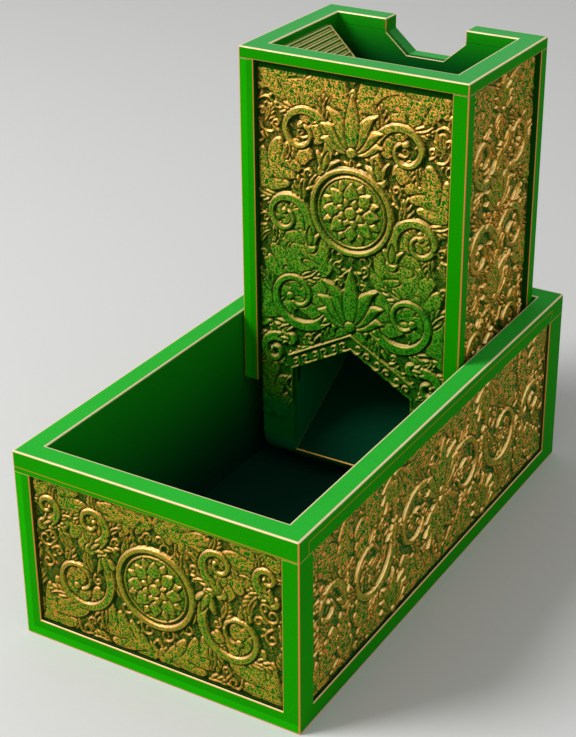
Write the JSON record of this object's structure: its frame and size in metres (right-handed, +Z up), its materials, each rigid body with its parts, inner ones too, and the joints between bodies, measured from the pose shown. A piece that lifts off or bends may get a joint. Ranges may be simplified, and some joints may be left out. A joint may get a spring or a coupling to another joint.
{
  "type": "folding dice tower",
  "caption": "Folding dice tower: a carved, baffled chute with a gabled exit that stands in a carved tray and swings down on side pivots to lie in it as its lid.",
  "frame": {"origin": "middle of the tray's underside, on the surface it stands on", "axes": "+X to the right across the tray, +Y from the open front of the tray to the tower at its back, +Z up"},
  "size_m": [0.11, 0.206, 0.1786],
  "materials": {
    "frame_green": "green with copper edges",
    "chute_green": "dark green",
    "carved_panel": "green with copper and pale gold high edges",
    "baffle": "green with gold step edges",
    "pivot_pin": "plain green"
  },
  "bodies": {
    "tray": {"tray_body": "frame_green", "tray_rim": "frame_green", "tray_front_panel": "carved_panel", "tray_back_panel": "carved_panel", "tray_left_panel": "carved_panel", "tray_right_panel": "carved_panel", "hinge_boss_left": "frame_green", "hinge_boss_right": "frame_green", "pivot_pin_left": "pivot_pin", "pivot_pin_right": "pivot_pin"},
    "tower": {"tower_foot": "chute_green", "exit_ramp": "chute_green", "tower_chute": "chute_green", "tower_frame": "frame_green", "tower_rim": "frame_green", "tower_front_panel": "carved_panel", "tower_back_panel": "carved_panel", "tower_left_panel": "carved_panel", "tower_right_panel": "carved_panel", "upper_baffle": "baffle", "lower_baffle": "baffle"}
  },
  "joints": [
    {"name": "tower_fold", "type": "hinge", "parent": "tray", "child": "tower", "pos_m": [0, 0.0541, 0.0333], "axis": [1, 0, 0], "range_deg": [0, 90]}
  ]
}
